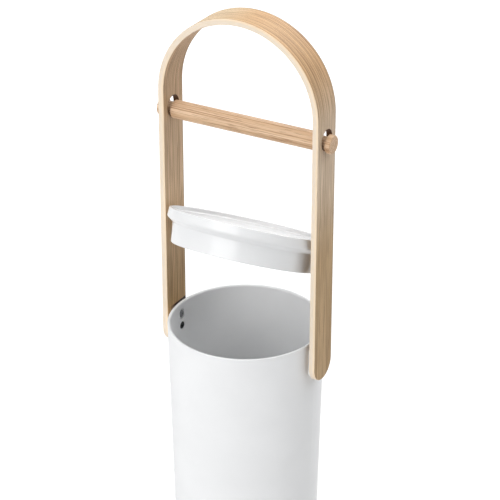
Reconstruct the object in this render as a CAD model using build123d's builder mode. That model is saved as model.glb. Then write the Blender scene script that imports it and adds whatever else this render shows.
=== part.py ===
"""A free-standing toilet paper stand: a round canister for spare rolls, a bent plywood bow screwed to it,
a loose dowel that hangs in the bow and carries the roll in use, and a lift-off lid.

Millimetres, +Z up. The bow and its dowel run along X and the front of the stand faces -Y.
The origin is on the floor, on the canister's axis.
"""

import os
from math import asin, cos, hypot, radians, sin

from build123d import *

# Canister
foot_proud = 2.0
rim_height = 326.0
rim_radius = 77.5
base_radius = 70.5
wall = 3.0
floor_thickness = 3.0
rim_outer_round = 0.9
rim_flat = 0.2
base_edge_round = 1.2

# Bent bow, a flat strip whose ends are rounded
leg_gap = 2.5
strip_width = 35.0
strip_thickness = 6.0
strip_edge_round = 0.7
bow_rise = 234.0
leg_overlap = 41.0

# Dowel with a turned neck at each leg
dowel_radius = 9.0
neck_depth = 2.5
dowel_end_proud = 7.5
dowel_end_round = 1.2
shoulder_gap = 2.2
dowel_hole_clearance = 1.2
dowel_hole_rise = 213.4
neck_rest_gap = 0.3

# Lid, a tray on top and a tapered plug below
lid_overhang = 1.9
lid_rim_draft = 0.3
lid_rim_depth = 9.0
lid_bevel_depth = 4.9
plug_clearance = 1.6
plug_draft = 2.4
plug_depth = 19.4
lid_wall = 2.0
tray_depth = 4.6
tray_rim_width = 2.2
tray_wall_draft = 0.6
tray_corner_round = 2.0
lid_round = 0.7
flange_round = 3.0
notch_round = 1.5
plug_lip_chamfer = 0.6
lid_seat_gap = 0.35

# How the loose lid is held above its mouth
lid_lift = 91.9
lid_shift = 6.9
lid_tilt = 25.4

# Leg screws, their inserts and the flat seats between leg and canister
seat_side_margin = 6.5
seat_end_margin = 4.0
seat_corner = 5.0
screw_drops = (12.5, 25.5)
screw_radius = 2.0
screw_clearance = 0.25
screw_end_gap = 0.3
screw_head_radius = 3.8
screw_head_height = 2.2
screw_head_round = 1.4
screw_socket_flats = 2.5
screw_socket_depth = 1.2
spot_face_depth = 1.8
spot_face_clearance = 0.4
slot_travel = 2.6
insert_web = 0.6
insert_end_gap = 0.4
insert_radius = 3.0
insert_groove_depth = 0.35
insert_groove_width = 0.6
insert_groove_starts = (1.5, 3.0)
insert_fit = 0.03
thread_fit = 0.05

# Weighted base
cover_thickness = 3.0
cover_gap = 0.3
ballast_thickness = 12.0
ballast_gap = 0.4
ballast_edge_gap = 5.0
ballast_edge_chamfer = 1.5
post_radius = 4.0
post_inset = 25.5
post_clearance = 0.5
base_screw_radius = 1.5
base_screw_length = 11.0
base_screw_head_radius = 3.0
base_screw_fit = 0.05
cross_length = 3.0
cross_width = 0.75
cross_depth = 1.2
foot_radius = 8.0
foot_recess = 1.2
foot_inset = 14.5
foot_edge_round = 0.6

# Heights and radii that follow from the sizes above
taper = (rim_radius - base_radius) / (rim_height - foot_proud)
cover_top = foot_proud + cover_thickness
floor_underside = cover_top + ballast_thickness + ballast_gap
floor_top = floor_underside + floor_thickness
mouth_radius = rim_radius - wall
rim_inner_round = wall - rim_outer_round - rim_flat
leg_inner = rim_radius + leg_gap
leg_outer = leg_inner + strip_thickness
leg_end_height = rim_height - leg_overlap
bow_centre_height = rim_height + bow_rise
neck_radius = dowel_radius - neck_depth
dowel_hole_radius = dowel_radius + dowel_hole_clearance
dowel_hole_height = rim_height + dowel_hole_rise
dowel_height = dowel_hole_height - (dowel_hole_radius - neck_radius - neck_rest_gap)
insert_hole_depth = strip_thickness - insert_web
insert_length = insert_hole_depth - insert_end_gap
screw_end = leg_inner + insert_hole_depth - screw_end_gap
post_circle_radius = base_radius - post_inset
foot_circle_radius = base_radius - foot_inset


def outer_radius(height):
    """The canister's outer radius at a height."""
    return base_radius + taper * (height - foot_proud)


def inner_radius(height):
    """The canister's inner radius at a height."""
    return outer_radius(height) - wall


# The lid's bevel comes to rest on the rounded inner edge of the canister's mouth
lid_rim_radius = rim_radius + lid_overhang
lid_top_radius = lid_rim_radius - lid_rim_draft
plug_top_radius = mouth_radius - plug_clearance
plug_bottom_radius = plug_top_radius - plug_draft
bevel_run = lid_rim_radius - plug_top_radius
bevel_length = hypot(bevel_run, lid_bevel_depth)
seat_reach = lid_rim_radius - mouth_radius - rim_inner_round
seat_normal_reach = (rim_inner_round + lid_seat_gap) * bevel_length + seat_reach * lid_bevel_depth
lid_seat_depth = lid_rim_depth + seat_normal_reach / bevel_run - rim_inner_round
lid_closed_height = rim_height + lid_seat_depth

# One turn about this line carries the closed lid to where it is held
lid_chord = hypot(lid_shift, lid_lift)
lid_swing_radius = lid_chord / (2 * sin(radians(lid_tilt / 2)))
chord_lean = asin(lid_shift / lid_chord)
swing_reach = lid_swing_radius * cos(radians(lid_tilt / 2))
lid_pivot_y = lid_shift / 2 + swing_reach * cos(chord_lean)
lid_pivot_z = lid_closed_height + lid_lift / 2 - swing_reach * sin(chord_lean)
lid_pivot = Axis((0, lid_pivot_y, lid_pivot_z), (-1, 0, 0))

os.makedirs("parts", exist_ok=True)

# Canister: a tapered drum with a flat seat for each leg, a floor, and posts below it for the base cover
with BuildPart() as canister:
    with BuildSketch(Plane.XZ):
        with BuildLine():
            Polyline(
                (0, foot_proud),
                (base_radius, foot_proud),
                (rim_radius, rim_height),
                (0, rim_height),
                close=True,
            )
        make_face()
    revolve(axis=Axis.Z)
    seat_width = strip_width - 2 * seat_side_margin
    seat_height = leg_overlap - 2 * seat_end_margin
    seat_centre = rim_height - leg_overlap / 2
    seat_root = inner_radius(seat_centre - seat_height / 2)
    for side in (-1, 1):
        with BuildSketch(Plane.YZ.offset(side * seat_root)):
            with Locations((0, seat_centre)):
                RectangleRounded(seat_width, seat_height, seat_corner)
        extrude(amount=side * (leg_inner - seat_root))
    with BuildSketch(Plane.XZ):
        with BuildLine():
            Polyline(
                (0, floor_top),
                (inner_radius(floor_top), floor_top),
                (mouth_radius, rim_height),
                (0, rim_height),
                close=True,
            )
        make_face()
    revolve(axis=Axis.Z, mode=Mode.SUBTRACT)
    with BuildSketch(Plane.XZ):
        with BuildLine():
            Polyline(
                (0, foot_proud),
                (inner_radius(foot_proud), foot_proud),
                (inner_radius(floor_underside), floor_underside),
                (0, floor_underside),
                close=True,
            )
        make_face()
    revolve(axis=Axis.Z, mode=Mode.SUBTRACT)
    rim_edges = canister.edges().filter_by(GeomType.CIRCLE).filter_by_position(
        Axis.Z, rim_height - 0.01, rim_height + 0.01
    ).sort_by(SortBy.RADIUS)
    fillet(rim_edges[0], rim_inner_round)
    fillet(rim_edges[-1], rim_outer_round)
    base_edge = canister.edges().filter_by(GeomType.CIRCLE).group_by(Axis.Z)[0].sort_by(SortBy.RADIUS)[-1]
    fillet(base_edge, base_edge_round)
    with BuildSketch(Plane.XY.offset(cover_top)):
        with PolarLocations(post_circle_radius, 4, start_angle=45):
            Circle(post_radius)
    extrude(amount=floor_underside - cover_top)
    with BuildSketch(Plane.XY.offset(cover_top)):
        with PolarLocations(post_circle_radius, 4, start_angle=45):
            Circle(base_screw_radius + base_screw_fit)
    extrude(amount=base_screw_length, mode=Mode.SUBTRACT)
    for side in (-1, 1):
        for drop, travel in zip(screw_drops, (slot_travel, 0)):
            height = rim_height - drop
            seat = inner_radius(height) + spot_face_depth
            spot_radius = screw_head_radius + spot_face_clearance
            hole_radius = screw_radius + screw_clearance
            for start, radius, reach in (
                (seat, spot_radius, -screw_head_height - 1),
                (seat, hole_radius, leg_inner - seat),
            ):
                with BuildSketch(Plane.YZ.offset(side * start)):
                    with Locations((0, height)):
                        Circle(radius)
                    if travel:
                        with Locations((0, height)):
                            SlotCenterToCenter(travel, 2 * radius, rotation=90)
                extrude(amount=side * reach, mode=Mode.SUBTRACT)
canister.part.label = "canister"
export_step(canister.part, "parts/canister.step")

# Handle: one flat strip bent over a round former, with rounded ends, dowel holes and blind insert holes
with BuildPart() as handle:
    with BuildSketch(Plane.XZ.offset(-strip_width / 2)):
        with BuildLine():
            outer_bend = CenterArc((0, bow_centre_height), leg_outer, 0, 180)
            left_outside = Line(outer_bend @ 1, (-leg_outer, leg_end_height))
            left_end = Line(left_outside @ 1, (-leg_inner, leg_end_height))
            Line(left_end @ 1, (-leg_inner, bow_centre_height))
            inner_bend = CenterArc((0, bow_centre_height), leg_inner, 180, -180)
            right_inside = Line(inner_bend @ 1, (leg_inner, leg_end_height))
            right_end = Line(right_inside @ 1, (leg_outer, leg_end_height))
            Line(right_end @ 1, outer_bend @ 0)
        make_face()
    extrude(amount=strip_width)
    leg_corners = handle.edges().filter_by(Axis.X).group_by(Axis.Z)[0]
    fillet(leg_corners, strip_width / 2 - 0.01)
    with BuildSketch(Plane.YZ.offset(-leg_outer - 1)):
        with Locations((0, dowel_hole_height)):
            Circle(dowel_hole_radius)
    extrude(amount=2 * leg_outer + 2, mode=Mode.SUBTRACT)
    for side in (-1, 1):
        with BuildSketch(Plane.YZ.offset(side * leg_inner)):
            with Locations(*[(0, rim_height - drop) for drop in screw_drops]):
                Circle(insert_radius + insert_fit)
        extrude(amount=side * insert_hole_depth, mode=Mode.SUBTRACT)
    front_and_back = handle.faces().filter_by(Axis.Y)
    fillet(front_and_back.edges(), strip_edge_round)
handle.part.label = "handle"
export_step(handle.part, "parts/handle.step")

# Dowel: a turned rod whose two necks drop over the lower edges of the leg holes
with BuildPart() as dowel:
    with BuildSketch(Plane.XZ):
        with BuildLine():
            Polyline(
                (-leg_outer - dowel_end_proud, dowel_height),
                (-leg_outer - dowel_end_proud, dowel_height + dowel_radius),
                (-leg_outer - shoulder_gap, dowel_height + dowel_radius),
                (-leg_outer - shoulder_gap, dowel_height + neck_radius),
                (-leg_inner + shoulder_gap, dowel_height + neck_radius),
                (-leg_inner + shoulder_gap, dowel_height + dowel_radius),
                (leg_inner - shoulder_gap, dowel_height + dowel_radius),
                (leg_inner - shoulder_gap, dowel_height + neck_radius),
                (leg_outer + shoulder_gap, dowel_height + neck_radius),
                (leg_outer + shoulder_gap, dowel_height + dowel_radius),
                (leg_outer + dowel_end_proud, dowel_height + dowel_radius),
                (leg_outer + dowel_end_proud, dowel_height),
                close=True,
            )
        make_face()
    revolve(axis=Axis((0, 0, dowel_height), (1, 0, 0)))
    end_edges = dowel.faces().filter_by(Axis.X).sort_by(Axis.X)
    fillet(end_edges[0].edges() + end_edges[-1].edges(), dowel_end_round)
dowel.part.label = "dowel"
export_step(dowel.part, "parts/dowel.step")

# Lid: drawn closed on the canister's mouth, then swung to where it is held
plug_top_depth = lid_rim_depth + lid_bevel_depth
lid_bottom_depth = plug_top_depth + plug_depth
tray_radius = lid_top_radius - tray_rim_width
with BuildPart() as lid:
    with BuildSketch(Plane.XZ):
        with BuildLine():
            Polyline(
                (0, lid_closed_height - tray_depth),
                (tray_radius - tray_wall_draft, lid_closed_height - tray_depth),
                (tray_radius, lid_closed_height),
                (lid_top_radius, lid_closed_height),
                (lid_rim_radius, lid_closed_height - lid_rim_depth),
                (plug_top_radius, lid_closed_height - plug_top_depth),
                (plug_bottom_radius, lid_closed_height - lid_bottom_depth),
                (plug_bottom_radius - lid_wall, lid_closed_height - lid_bottom_depth),
                (plug_top_radius - lid_wall, lid_closed_height - plug_top_depth),
                (plug_top_radius - lid_wall, lid_closed_height - tray_depth - lid_wall),
                (0, lid_closed_height - tray_depth - lid_wall),
                close=True,
            )
        make_face()
    revolve(axis=Axis.Z)
    for depth, reach, rounding in (
        (0, lid_top_radius, lid_round),
        (0, tray_radius, lid_round),
        (tray_depth, tray_radius - tray_wall_draft, tray_corner_round),
        (lid_rim_depth, lid_rim_radius, flange_round),
        (plug_top_depth, plug_top_radius, notch_round),
    ):
        ring = lid.edges().filter_by(GeomType.CIRCLE).filter_by(
            lambda edge: abs(edge.radius - reach) < 0.01
            and abs(edge.arc_center.Z - lid_closed_height + depth) < 0.01
        )
        fillet(ring, rounding)
    lip_circle = lid.edges().filter_by(GeomType.CIRCLE).group_by(Axis.Z)[0].sort_by(SortBy.RADIUS)[-1]
    chamfer(lip_circle, plug_lip_chamfer)
lid_held = lid.part.rotate(lid_pivot, lid_tilt)
lid_held.label = "lid"
export_step(lid_held, "parts/lid.step")

# Leg screws from inside the canister, and the threaded inserts that they hold in the legs
for side, side_name in ((-1, "left"), (1, "right")):
    for drop, row_name in zip(screw_drops, ("upper", "lower")):
        height = rim_height - drop
        seat = inner_radius(height) + spot_face_depth
        with BuildPart() as leg_screw:
            with BuildSketch(Plane.YZ.offset(side * (seat - screw_head_height))):
                with Locations((0, height)):
                    Circle(screw_head_radius)
            extrude(amount=side * screw_head_height)
            head_rim = leg_screw.edges().filter_by(GeomType.CIRCLE).sort_by(Axis.X)
            fillet(head_rim[0] if side > 0 else head_rim[-1], screw_head_round)
            with BuildSketch(Plane.YZ.offset(side * seat)):
                with Locations((0, height)):
                    Circle(screw_radius)
            extrude(amount=side * (screw_end - seat))
            with BuildSketch(Plane.YZ.offset(side * (seat - screw_head_height))):
                with Locations((0, height)):
                    RegularPolygon(screw_socket_flats / 2, 6, major_radius=False)
            extrude(amount=side * screw_socket_depth, mode=Mode.SUBTRACT)
        leg_screw.part.label = f"{side_name}_{row_name}_leg_screw"
        export_step(leg_screw.part, f"parts/{side_name}_{row_name}_leg_screw.step")

        with BuildPart() as leg_insert:
            with BuildSketch(Plane.YZ.offset(side * leg_inner)):
                with Locations((0, height)):
                    Circle(insert_radius)
                    Circle(screw_radius + thread_fit, mode=Mode.SUBTRACT)
            extrude(amount=side * insert_length)
            for groove_start in insert_groove_starts:
                with BuildSketch(Plane.YZ.offset(side * (leg_inner + groove_start))):
                    with Locations((0, height)):
                        Circle(insert_radius)
                        Circle(insert_radius - insert_groove_depth, mode=Mode.SUBTRACT)
                extrude(amount=side * insert_groove_width, mode=Mode.SUBTRACT)
        leg_insert.part.label = f"{side_name}_{row_name}_leg_insert"
        export_step(leg_insert.part, f"parts/{side_name}_{row_name}_leg_insert.step")

# Ballast: a heavy disc under the canister's floor, with a hole round each post
with BuildPart() as ballast:
    with BuildSketch(Plane.XY.offset(cover_top)):
        Circle(inner_radius(cover_top) - ballast_edge_gap)
        with PolarLocations(post_circle_radius, 4, start_angle=45):
            Circle(post_radius + post_clearance, mode=Mode.SUBTRACT)
    extrude(amount=ballast_thickness)
    outer_circles = ballast.edges().filter_by(GeomType.CIRCLE).sort_by(SortBy.RADIUS)[-2:]
    chamfer(outer_circles, ballast_edge_chamfer)
ballast.part.label = "ballast_disc"
export_step(ballast.part, "parts/ballast_disc.step")

# Base cover: closes the cavity from below, with countersunk screw holes and a recess for each foot
with BuildPart() as base_cover:
    with BuildSketch(Plane.XY.offset(foot_proud)):
        Circle(inner_radius(foot_proud) - cover_gap)
    extrude(amount=cover_thickness)
    with Locations(Plane.XY.offset(foot_proud).rotated((180, 0, 0))):
        with PolarLocations(post_circle_radius, 4, start_angle=45):
            CounterSinkHole(base_screw_radius + screw_clearance, base_screw_head_radius + screw_clearance)
    with BuildSketch(Plane.XY.offset(foot_proud)):
        with PolarLocations(foot_circle_radius, 4):
            Circle(foot_radius)
    extrude(amount=foot_recess, mode=Mode.SUBTRACT)
base_cover.part.label = "base_cover"
export_step(base_cover.part, "parts/base_cover.step")

# Base screws and feet, one of each in every quarter of the base
corner_names = ("right_back", "left_back", "left_front", "right_front")
for place, corner_name in zip(PolarLocations(post_circle_radius, 4, start_angle=45).locations, corner_names):
    x, y = place.position.X, place.position.Y
    head_height = base_screw_head_radius - base_screw_radius
    with BuildPart() as base_screw:
        with BuildSketch(Plane((x, y, 0), x_dir=(1, 0, 0), z_dir=(0, -1, 0))):
            with BuildLine():
                Polyline(
                    (0, foot_proud),
                    (base_screw_head_radius, foot_proud),
                    (base_screw_radius, foot_proud + head_height),
                    (base_screw_radius, foot_proud + base_screw_length),
                    (0, foot_proud + base_screw_length),
                    close=True,
                )
            make_face()
        revolve(axis=Axis((x, y, 0), (0, 0, 1)))
        with BuildSketch(Plane.XY.offset(foot_proud)):
            with Locations((x, y)):
                Rectangle(cross_length, cross_width)
                Rectangle(cross_width, cross_length)
        extrude(amount=cross_depth, mode=Mode.SUBTRACT)
    base_screw.part.label = f"{corner_name}_base_screw"
    export_step(base_screw.part, f"parts/{corner_name}_base_screw.step")

foot_names = ("right", "back", "left", "front")
for place, foot_name in zip(PolarLocations(foot_circle_radius, 4).locations, foot_names):
    with BuildPart() as foot:
        with BuildSketch(Plane.XY):
            with Locations((place.position.X, place.position.Y)):
                Circle(foot_radius)
        extrude(amount=foot_proud + foot_recess)
        fillet(foot.edges().filter_by(GeomType.CIRCLE).sort_by(Axis.Z)[0], foot_edge_round)
    foot.part.label = f"{foot_name}_foot"
    export_step(foot.part, f"parts/{foot_name}_foot.step")
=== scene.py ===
"""Looks of a free-standing toilet paper stand: a white canister, a bent plywood bow, a loose dowel and a lid.

Metres, +Z up. The bow runs along X and the front of the stand faces -Y. The origin lies on the floor, on the
canister's axis.
"""

from math import cos, radians, sin

import bmesh
import bpy
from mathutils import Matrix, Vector


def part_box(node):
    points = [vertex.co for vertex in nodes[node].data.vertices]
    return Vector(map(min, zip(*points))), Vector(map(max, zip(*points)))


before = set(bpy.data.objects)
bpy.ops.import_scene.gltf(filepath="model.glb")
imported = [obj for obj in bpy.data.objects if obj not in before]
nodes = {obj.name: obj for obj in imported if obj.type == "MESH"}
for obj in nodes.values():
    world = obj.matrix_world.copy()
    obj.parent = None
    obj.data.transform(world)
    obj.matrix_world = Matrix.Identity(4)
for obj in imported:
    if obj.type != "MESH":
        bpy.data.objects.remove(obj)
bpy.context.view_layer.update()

MM = 0.001

# Camera
# A long lens two metres away, above the stand and to its right, which looks down into the mouth.
camera_target = Vector((0, 0.0079, 0.4006))
camera_distance = 1.9998
camera_azimuth = 29.707
camera_elevation = 26.969
camera_lens_mm = 148.06
camera_sensor_mm = 36


def aim_at_stand(thing, azimuth, elevation, distance):
    """Sets a camera or a lamp so many degrees right of the front and above level, facing the stand."""
    turn, rise = radians(azimuth), radians(elevation)
    direction = Vector((sin(turn) * cos(rise), -cos(turn) * cos(rise), sin(rise)))
    thing.location = camera_target + distance * direction
    thing.rotation_euler = (-direction).to_track_quat("-Z", "Y").to_euler()


camera_data = bpy.data.cameras.new("camera")
camera_data.lens = camera_lens_mm
camera_data.sensor_width = camera_sensor_mm
camera = bpy.data.objects.new("camera", camera_data)
bpy.context.scene.collection.objects.link(camera)
aim_at_stand(camera, camera_azimuth, camera_elevation, camera_distance)
bpy.context.scene.camera = camera
bpy.context.scene.view_settings.view_transform = "Standard"


# Building blocks of the materials
def linear(hex_colour):
    """An sRGB hex colour as linear red, green, blue and alpha."""
    channels = [int(hex_colour[i:i + 2], 16) / 255 for i in (1, 3, 5)]
    return [c / 12.92 if c <= 0.04045 else ((c + 0.055) / 1.055) ** 2.4 for c in channels] + [1.0]


def add(tree, kind, sockets=None, **settings):
    """Adds a node with its settings, and sets or links what feeds its sockets."""
    node = tree.nodes.new("ShaderNode" + kind)
    for name, value in settings.items():
        setattr(node, name, value)
    for socket, value in (sockets or {}).items():
        if isinstance(value, bpy.types.NodeSocket):
            tree.links.new(value, node.inputs[socket])
        else:
            node.inputs[socket].default_value = value
    return node


def maths(tree, operation, *values):
    """The result of an operation on numbers, each a value or a node's output."""
    return add(tree, "Math", dict(enumerate(values)), operation=operation).outputs[0]


def ramp(tree, value, low, high):
    """0 where the value is under low and 1 where it is over high, with a smooth step between."""
    return add(tree, "MapRange", {0: value, 1: low, 2: high}, interpolation_type="SMOOTHSTEP").outputs[0]


def stretched(tree, noise_value, lowest, highest):
    """Noise stretched between two values. Most of it lies between 0.3 and 0.7."""
    return add(tree, "MapRange", {0: noise_value, 1: 0.3, 2: 0.7, 3: lowest, 4: highest}).outputs[0]


def blend(tree, amount, first, second):
    """A colour between two, each a hex colour or a node's output."""
    first = linear(first) if isinstance(first, str) else first
    second = linear(second) if isinstance(second, str) else second
    return add(tree, "Mix", {0: amount, 6: first, 7: second}, data_type="RGBA").outputs[2]


def tinted(tree, colour, tone):
    """A colour multiplied by another."""
    return add(tree, "Mix", {0: 1.0, 6: colour, 7: tone}, data_type="RGBA", blend_type="MULTIPLY").outputs[2]


def own_place(tree):
    """Where a point lies in its own piece, which moves with the piece."""
    return add(tree, "TexCoord").outputs["Object"]


def noise(tree, size_mm, detail, roughness=0.5):
    """Noise from 0 to 1 whose largest forms are about this size."""
    return add(tree, "TexNoise", {
        "Vector": own_place(tree), "Scale": 1 / (size_mm * MM), "Detail": detail, "Roughness": roughness,
    }).outputs[0]


def mottled(tree, light, dark, patch_mm):
    """A colour that drifts a little between two near ones in soft patches."""
    return blend(tree, ramp(tree, noise(tree, patch_mm, detail=4.0), 0.35, 0.65), light, dark)


def uneven(tree, middle, spread, patch_mm):
    """A roughness that wavers around its middle in soft patches."""
    return stretched(tree, noise(tree, patch_mm, detail=3.0), middle - spread, middle + spread)


def dimpled(tree, grain_mm, height_mm, strength):
    """Fine dimples all over a surface, as a bump normal."""
    grain = noise(tree, grain_mm, detail=3.0, roughness=0.6)
    sockets = {"Height": grain, "Distance": height_mm * MM, "Strength": strength}
    return add(tree, "Bump", sockets).outputs[0]


def new_tree(name):
    """A new material with an empty node tree, and that tree."""
    material = bpy.data.materials.new(name)
    material.use_nodes = True
    material.node_tree.nodes.clear()
    return material, material.node_tree


def surface(tree, **sockets):
    """A Principled surface on the material's output. Sockets are named with underscores for spaces."""
    named = {name.replace("_", " "): value for name, value in sockets.items()}
    shader = add(tree, "BsdfPrincipled", named)
    add(tree, "OutputMaterial", {"Surface": shader.outputs[0]})


def put_on(material, *names):
    """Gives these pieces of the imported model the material."""
    for name in names:
        nodes[name].data.materials.clear()
        nodes[name].data.materials.append(material)


# Studio
# A white room with a pale floor. Seven broad lamps stand around and above the stand, the strongest behind it
# and low in front. The surround is white where it is seen or mirrored, and gives no light of its own.
def seen_directly(tree):
    """1 where a background is seen, mirrored or looked at through something, and 0 for the light it gives."""
    path = add(tree, "LightPath").outputs
    seen = maths(tree, "MAXIMUM", path["Is Camera Ray"], path["Is Glossy Ray"])
    return maths(tree, "MAXIMUM", seen, path["Is Transmission Ray"])


world = bpy.data.worlds.new("white_surround")
bpy.context.scene.world = world
world.use_nodes = True
world.node_tree.nodes.clear()
seen = seen_directly(world.node_tree)
surround = add(world.node_tree, "Background", {"Color": linear("#FFFFFF"), "Strength": seen})
add(world.node_tree, "OutputWorld", {"Surface": surround.outputs[0]})

floor_radius = 5.0
floor_mesh = bpy.data.meshes.new("floor")
floor_shape = bmesh.new()
bmesh.ops.create_circle(floor_shape, cap_ends=True, radius=floor_radius, segments=96)
floor_shape.to_mesh(floor_mesh)
floor_shape.free()
floor = bpy.data.objects.new("floor", floor_mesh)
bpy.context.scene.collection.objects.link(floor)

floor_material, tree = new_tree("white_floor")
plain = add(tree, "BsdfDiffuse", {"Color": linear("#E6E6E6")})
shadowed = add(tree, "BsdfDiffuse", {"Color": linear("#8C8C8C")})
# The stand's shadow shows near it. Further out the floor fades into the white surround.
fade_start = 0.5
fade_end = 1.6
near_glow = 0.86
from_stand = add(tree, "VectorMath", {0: own_place(tree)}, operation="LENGTH").outputs["Value"]
whiteness = add(tree, "MapRange", {0: from_stand, 1: fade_start, 2: fade_end, 3: near_glow, 4: 1.0})
glow = add(tree, "Emission", {"Color": linear("#FFFFFF"), "Strength": whiteness.outputs[0]})
shown = add(tree, "AddShader", {0: shadowed.outputs[0], 1: glow.outputs[0]})
mixed = add(tree, "MixShader", {0: seen_directly(tree), 1: plain.outputs[0], 2: shown.outputs[0]})
add(tree, "OutputMaterial", {"Surface": mixed.outputs[0]})
floor_mesh.materials.append(floor_material)

lamp_distance = 3.0


def add_lamp(name, azimuth, elevation, size, watts):
    """A square white lamp that faces the middle of the stand."""
    lamp_data = bpy.data.lights.new(name, "AREA")
    lamp_data.shape = "SQUARE"
    lamp_data.size = size
    lamp_data.energy = watts
    lamp = bpy.data.objects.new(name, lamp_data)
    bpy.context.scene.collection.objects.link(lamp)
    aim_at_stand(lamp, azimuth, elevation, lamp_distance)


add_lamp("front_low_lamp", azimuth=-5, elevation=12, size=2.0, watts=37.7)
add_lamp("front_high_lamp", azimuth=-18, elevation=50, size=2.2, watts=26.3)
add_lamp("front_left_lamp", azimuth=-40, elevation=25, size=2.4, watts=10.0)
add_lamp("left_high_lamp", azimuth=-80, elevation=55, size=2.2, watts=19.4)
add_lamp("right_high_lamp", azimuth=95, elevation=45, size=2.2, watts=33.1)
add_lamp("back_lamp", azimuth=175, elevation=40, size=2.4, watts=66.5)
add_lamp("overhead_lamp", azimuth=0, elevation=86, size=2.4, watts=17.2)

# Canister
# A tapered drum moulded in white polypropylene, with a fine even matte grain that scatters reflections but
# still whitens a little at a glancing angle.
matte_polypropylene, tree = new_tree("matte_polypropylene")
surface(
    tree,
    Base_Color=mottled(tree, "#F1F2F3", "#EEEFF0", patch_mm=60),
    Roughness=uneven(tree, 0.62, 0.04, patch_mm=8),
    IOR=1.49,
    Normal=dimpled(tree, grain_mm=0.35, height_mm=0.02, strength=0.5),
)
put_on(matte_polypropylene, "canister", "base_cover")

# Weighted base
# A cast iron disc lies under the floor of the canister, behind a white cover that four small screws hold.
# Four rubber feet are glued in recesses of the cover.
rough_cast_iron, tree = new_tree("rough_cast_iron")
surface(
    tree,
    Base_Color=mottled(tree, "#4A4A49", "#3A3938", patch_mm=9),
    Metallic=0.7,
    Roughness=uneven(tree, 0.65, 0.1, patch_mm=6),
    Normal=dimpled(tree, grain_mm=1.2, height_mm=0.12, strength=0.8),
)
put_on(rough_cast_iron, "ballast_disc")

grey_rubber, tree = new_tree("grey_rubber")
surface(
    tree,
    Base_Color=mottled(tree, "#9C9C9A", "#939391", patch_mm=5),
    Roughness=uneven(tree, 0.8, 0.06, patch_mm=2),
    IOR=1.52,
    Normal=dimpled(tree, grain_mm=0.25, height_mm=0.03, strength=0.6),
)
put_on(grey_rubber, *(f"{side}_foot" for side in ("right", "back", "left", "front")))

zinc_plated_steel, tree = new_tree("zinc_plated_steel")
surface(
    tree,
    Base_Color=mottled(tree, "#B9BBBC", "#A9ABAC", patch_mm=1.5),
    Metallic=1.0,
    Roughness=uneven(tree, 0.34, 0.08, patch_mm=1.5),
    Normal=dimpled(tree, grain_mm=0.2, height_mm=0.01, strength=0.4),
)
corners = ("right_back", "left_back", "left_front", "right_front")
put_on(zinc_plated_steel, *(f"{corner}_base_screw" for corner in corners))

# Bow
# One strip of ash-veneered birch plywood, bent over a round former and sawn to width. The veneer's long grain
# follows the bend, and the sawn edges are pale, with a faint line at each ply.
bow_low, bow_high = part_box("handle")
bow_outer = (bow_high.x - bow_low.x) / 2
bow_centre_height = bow_high.z - bow_outer
strip_thickness = 6 * MM
pore_depth = 0.05 * MM


def bow_coordinates(tree):
    """Where a point lies in the strip: along the bend from the crest, across the strip and below its outside.
    Last comes the direction that points out of the bend."""
    x, y, z = add(tree, "SeparateXYZ", {0: own_place(tree)}).outputs
    above = maths(tree, "SUBTRACT", z, bow_centre_height)
    rise = maths(tree, "MAXIMUM", above, 0.0)
    drop = maths(tree, "SUBTRACT", rise, above)
    bend = maths(tree, "MULTIPLY", maths(tree, "ARCTAN2", x, rise), bow_outer)
    along = maths(tree, "MULTIPLY_ADD", drop, maths(tree, "SIGN", x), bend)
    flat = add(tree, "CombineXYZ", {0: x, 2: rise}).outputs[0]
    radius = add(tree, "VectorMath", {0: flat}, operation="LENGTH").outputs["Value"]
    depth = maths(tree, "SUBTRACT", bow_outer, radius)
    radial = add(tree, "VectorMath", {0: flat}, operation="NORMALIZE").outputs[0]
    return along, y, depth, radial


def streaks(tree, along, across, depth, length_mm, width_mm, seed, detail=2.0, distortion=0.0):
    """Noise drawn out along the grain, from 0 to 1."""
    drawn_out = add(tree, "CombineXYZ", {
        0: maths(tree, "MULTIPLY", along, 1 / (length_mm * MM)),
        1: maths(tree, "MULTIPLY", across, 1 / (width_mm * MM)),
        2: maths(tree, "MULTIPLY_ADD", depth, 1 / (width_mm * MM), seed),
    }).outputs[0]
    return add(tree, "TexNoise", {
        "Vector": drawn_out, "Scale": 1.0, "Detail": detail, "Roughness": 0.5, "Distortion": distortion,
    }).outputs[0]


def sunken_grain(tree, pores, lines):
    """The pores and lines of the grain as dents in the wood, as a bump normal."""
    sockets = {"Height": maths(tree, "ADD", pores, lines), "Distance": pore_depth, "Strength": 0.35}
    return add(tree, "Bump", sockets, invert=True).outputs[0]


ash_veneered_plywood, tree = new_tree("ash_veneered_plywood")
along, across, depth, radial = bow_coordinates(tree)

# Veneer: growth bands a few millimetres wide, and open pores drawn half a millimetre wide, as a tenth
# wouldn't show.
bands = streaks(tree, along, across, depth, length_mm=300, width_mm=3.5, seed=3.0, distortion=0.3)
lines = streaks(tree, along, across, depth, length_mm=150, width_mm=0.75, seed=11.0)
pores = streaks(tree, along, across, depth, length_mm=36, width_mm=0.45, seed=23.0, detail=1.0)
veneer = blend(tree, ramp(tree, bands, 0.38, 0.62), "#E9D6BC", "#DECDB2")
veneer = blend(tree, ramp(tree, lines, 0.45, 0.60), veneer, "#B39C7E")
veneer = blend(tree, ramp(tree, pores, 0.52, 0.70), veneer, "#9C866C")

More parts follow.
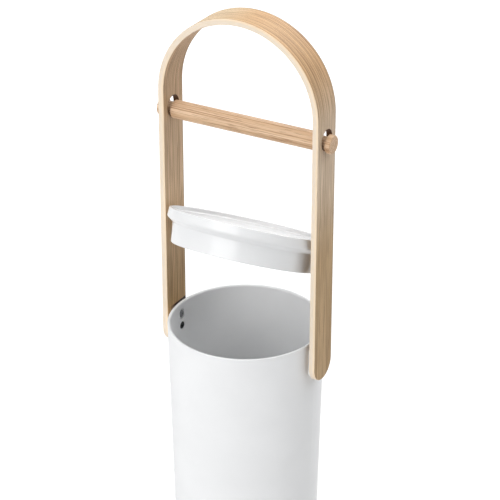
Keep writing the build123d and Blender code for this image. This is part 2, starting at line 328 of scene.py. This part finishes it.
# It changes along its length: brown at both ends, greyer at the shoulders, warm over the arch. These tones
# are the veneer's own colour together with painted light and shade, matched place by place. Each tone passes
# into the next between two places, in millimetres along the strip from the crest, less than zero on the left.
left_end_tone = "#F5DAAF"
left_shoulder_tone = "#F5E6D7"
arch_tone = "#ECD0AE"
right_shoulder_tone = "#FCF7F6"
right_end_tone = "#DBC8A7"
tone = left_end_tone
for start, end, next_tone in (
    (-375, -215, left_shoulder_tone),
    (-150, -60, arch_tone),
    (70, 160, right_shoulder_tone),
    (185, 285, right_end_tone),
):
    tone = blend(tree, ramp(tree, along, start * MM, end * MM), tone, next_tone)

# Painted sheen: the outer of the two sheets is drawn paler just left of the crest, where light glances off
# it.
crest_sheen_tone = "#FEF6E9"
outer_sheet = ramp(tree, depth, 0.55 * strip_thickness, 0.45 * strip_thickness)
sheen_start = ramp(tree, along, -75 * MM, -50 * MM)
sheen_end = ramp(tree, along, 15 * MM, -25 * MM)
painted_sheen = maths(tree, "MULTIPLY", maths(tree, "MULTIPLY", sheen_start, sheen_end), outer_sheet)
veneer = tinted(tree, veneer, blend(tree, painted_sheen, tone, crest_sheen_tone))

# Painted shade: its back arris, which turns away from the lamps, is drawn darker.
arris_width = 1.6 * MM
arris_shade = 0.6
shaded_back_arris = ramp(tree, across, bow_high.y - arris_width, bow_high.y - 0.5 * arris_width)
veneer = blend(tree, maths(tree, "MULTIPLY", shaded_back_arris, arris_shade), veneer, "#6E5F4C")

# Sawn edges: short fibres and a faint line of glue between plies, with painted shade: the side of each edge
# that leans right and up is drawn warmer. That is the outer side over the arch and down the right leg, and
# the inner one down the left.
sawn_core = "#ECDECE"
sawn_shaded_side = "#F5DFC1"
fibres = streaks(tree, along, across, depth, length_mm=9, width_mm=0.7, seed=31.0)
sawn = blend(tree, ramp(tree, fibres, 0.35, 0.7), sawn_core, "#EBD9BF")
outwards_right = (0.8, 0.0, 0.6)
lean = add(tree, "VectorMath", {0: radial, 1: outwards_right}, operation="DOT_PRODUCT").outputs["Value"]
from_middle = maths(tree, "SUBTRACT", strip_thickness / 2, depth)
towards_right = maths(tree, "MULTIPLY", from_middle, lean)
sawn = blend(tree, ramp(tree, towards_right, 0.2 * MM, 1.3 * MM), sawn, sawn_shaded_side)

ply_count = 5
glue_darkness = 0.25
ply_share = maths(tree, "FRACT", maths(tree, "MULTIPLY", depth, ply_count / strip_thickness))
from_ply_middle = maths(tree, "ABSOLUTE", maths(tree, "SUBTRACT", ply_share, 0.5))
glue = ramp(tree, from_ply_middle, 0.42, 0.49)
sawn = blend(tree, maths(tree, "MULTIPLY", glue, glue_darkness), sawn, "#D9BD97")

# Veneer where the strip faces in or out of the bend, and a sawn edge where it faces the front or the back
facing = add(tree, "NewGeometry").outputs["Normal"]
towards_face = add(tree, "VectorMath", {0: facing, 1: radial}, operation="DOT_PRODUCT").outputs["Value"]
towards_face = maths(tree, "ABSOLUTE", towards_face)
wood = blend(tree, ramp(tree, towards_face, 0.80, 0.95), sawn, veneer)

# Painted shade: the top of the narrow gap between leg and rim is drawn darker still, mostly at the back.
x, y, z = add(tree, "SeparateXYZ", {0: own_place(tree)}).outputs
rim_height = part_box("canister")[1].z
gap_top = ramp(tree, z, rim_height + 0.2 * MM, rim_height - 1.2 * MM)
gap_end = ramp(tree, z, rim_height - 12 * MM, rim_height - 6 * MM)
inner_face = ramp(tree, depth, 0.45 * strip_thickness, 0.55 * strip_thickness)
at_back = ramp(tree, across, -16 * MM, -2 * MM)
painted_gap_shade = gap_top
for share in (inner_face, at_back, gap_end):
    painted_gap_shade = maths(tree, "MULTIPLY", painted_gap_shade, share)
wood = blend(tree, painted_gap_shade, wood, "#36281C")

# The drilled holes for the dowel are drawn dark brown inside.
hole_height = 539.4 * MM
hole_radius = 10.2 * MM
from_hole = add(tree, "CombineXYZ", {1: y, 2: maths(tree, "SUBTRACT", z, hole_height)}).outputs[0]
from_hole = add(tree, "VectorMath", {0: from_hole}, operation="LENGTH").outputs["Value"]
wood = blend(tree, ramp(tree, from_hole, hole_radius + 0.5 * MM, hole_radius + 0.2 * MM), wood, "#5E4129")

surface(
    tree,
    Base_Color=wood,
    Roughness=stretched(tree, lines, 0.5, 0.64),
    IOR=1.47,
    Normal=sunken_grain(tree, pores, lines),
)
put_on(ash_veneered_plywood, "handle")

# Leg screws and inserts
# Two button-head screws a leg, driven from inside the canister into brass inserts. The lower pair is
# blackened. The upper pair is the same screws drawn a dull grey, as painted light where the heads catch more
# of it.
lit_grey_steel, tree = new_tree("lit_grey_steel")
surface(
    tree,
    Base_Color=mottled(tree, "#8A8C8E", "#7C7E80", patch_mm=1.5),
    Metallic=0.5,
    Roughness=uneven(tree, 0.6, 0.08, patch_mm=1.5),
    Normal=dimpled(tree, grain_mm=0.2, height_mm=0.01, strength=0.5),
)
put_on(lit_grey_steel, "left_upper_leg_screw", "right_upper_leg_screw")

blackened_steel, tree = new_tree("blackened_steel")
surface(
    tree,
    Base_Color=mottled(tree, "#1B1B1C", "#131314", patch_mm=1.5),
    Metallic=0.6,
    Roughness=uneven(tree, 0.45, 0.08, patch_mm=1.5),
    Normal=dimpled(tree, grain_mm=0.2, height_mm=0.01, strength=0.4),
)
put_on(blackened_steel, "left_lower_leg_screw", "right_lower_leg_screw")

turned_brass, tree = new_tree("turned_brass")
surface(
    tree,
    Base_Color=mottled(tree, "#D9B96A", "#CBA95B", patch_mm=2),
    Metallic=1.0,
    Roughness=uneven(tree, 0.3, 0.06, patch_mm=1.5),
    Normal=dimpled(tree, grain_mm=0.2, height_mm=0.01, strength=0.3),
)
for side in ("left", "right"):
    put_on(turned_brass, f"{side}_upper_leg_insert", f"{side}_lower_leg_insert")

# Dowel
# Turned from one ash rod and lacquered, with a neck at each leg. The grain runs along it, so it shows as long
# streaks on the round and as small spots on the sawn ends.
dowel_low, dowel_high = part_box("dowel")
dowel_height = (dowel_low.z + dowel_high.z) / 2

turned_ash, tree = new_tree("turned_ash")
x, y, z = add(tree, "SeparateXYZ", {0: own_place(tree)}).outputs
from_axis = maths(tree, "SUBTRACT", z, dowel_height)
bands = streaks(tree, x, y, from_axis, length_mm=200, width_mm=3.0, seed=5.0, distortion=0.4)
lines = streaks(tree, x, y, from_axis, length_mm=110, width_mm=0.8, seed=17.0)
pores = streaks(tree, x, y, from_axis, length_mm=18, width_mm=0.6, seed=29.0)
rod = blend(tree, ramp(tree, bands, 0.40, 0.60), "#ECCBA4", "#E0BC92")
rod = blend(tree, ramp(tree, lines, 0.46, 0.66), rod, "#BC936A")
rod = blend(tree, ramp(tree, pores, 0.54, 0.72), rod, "#9C7350")
rod_tone = "#F4F4FB"
surface(
    tree,
    Base_Color=tinted(tree, rod, linear(rod_tone)),
    Roughness=stretched(tree, lines, 0.46, 0.58),
    IOR=1.47,
    Normal=sunken_grain(tree, pores, lines),
)
put_on(turned_ash, "dowel")

# Lid
# One moulded shell in white ABS from a polished tool, so it mirrors the white room softly.
gloss_abs, tree = new_tree("gloss_abs")
waves = noise(tree, size_mm=25, detail=1.0)
wave_bump = add(tree, "Bump", {"Height": waves, "Distance": 0.02 * MM, "Strength": 0.2})
# Painted shade: the tray, which faces up, is drawn a shade greyer than the flange, or its glancing mirror of
# the white room would wash it out.
lid_tilt = radians(25.4)
lid_axis = (0.0, sin(lid_tilt), cos(lid_tilt))
facing = add(tree, "TexCoord").outputs["Normal"]
faces_up = add(tree, "VectorMath", {0: facing, 1: lid_axis}, operation="DOT_PRODUCT").outputs["Value"]
shell_white = mottled(tree, "#E9EAEB", "#E7E8E9", patch_mm=50)
surface(
    tree,
    Base_Color=blend(tree, ramp(tree, faces_up, 0.93, 0.99), shell_white, "#DADBDD"),
    Roughness=uneven(tree, 0.2, 0.02, patch_mm=12),
    IOR=1.53,
    Normal=wave_bump.outputs[0],
)
put_on(gloss_abs, "lid")
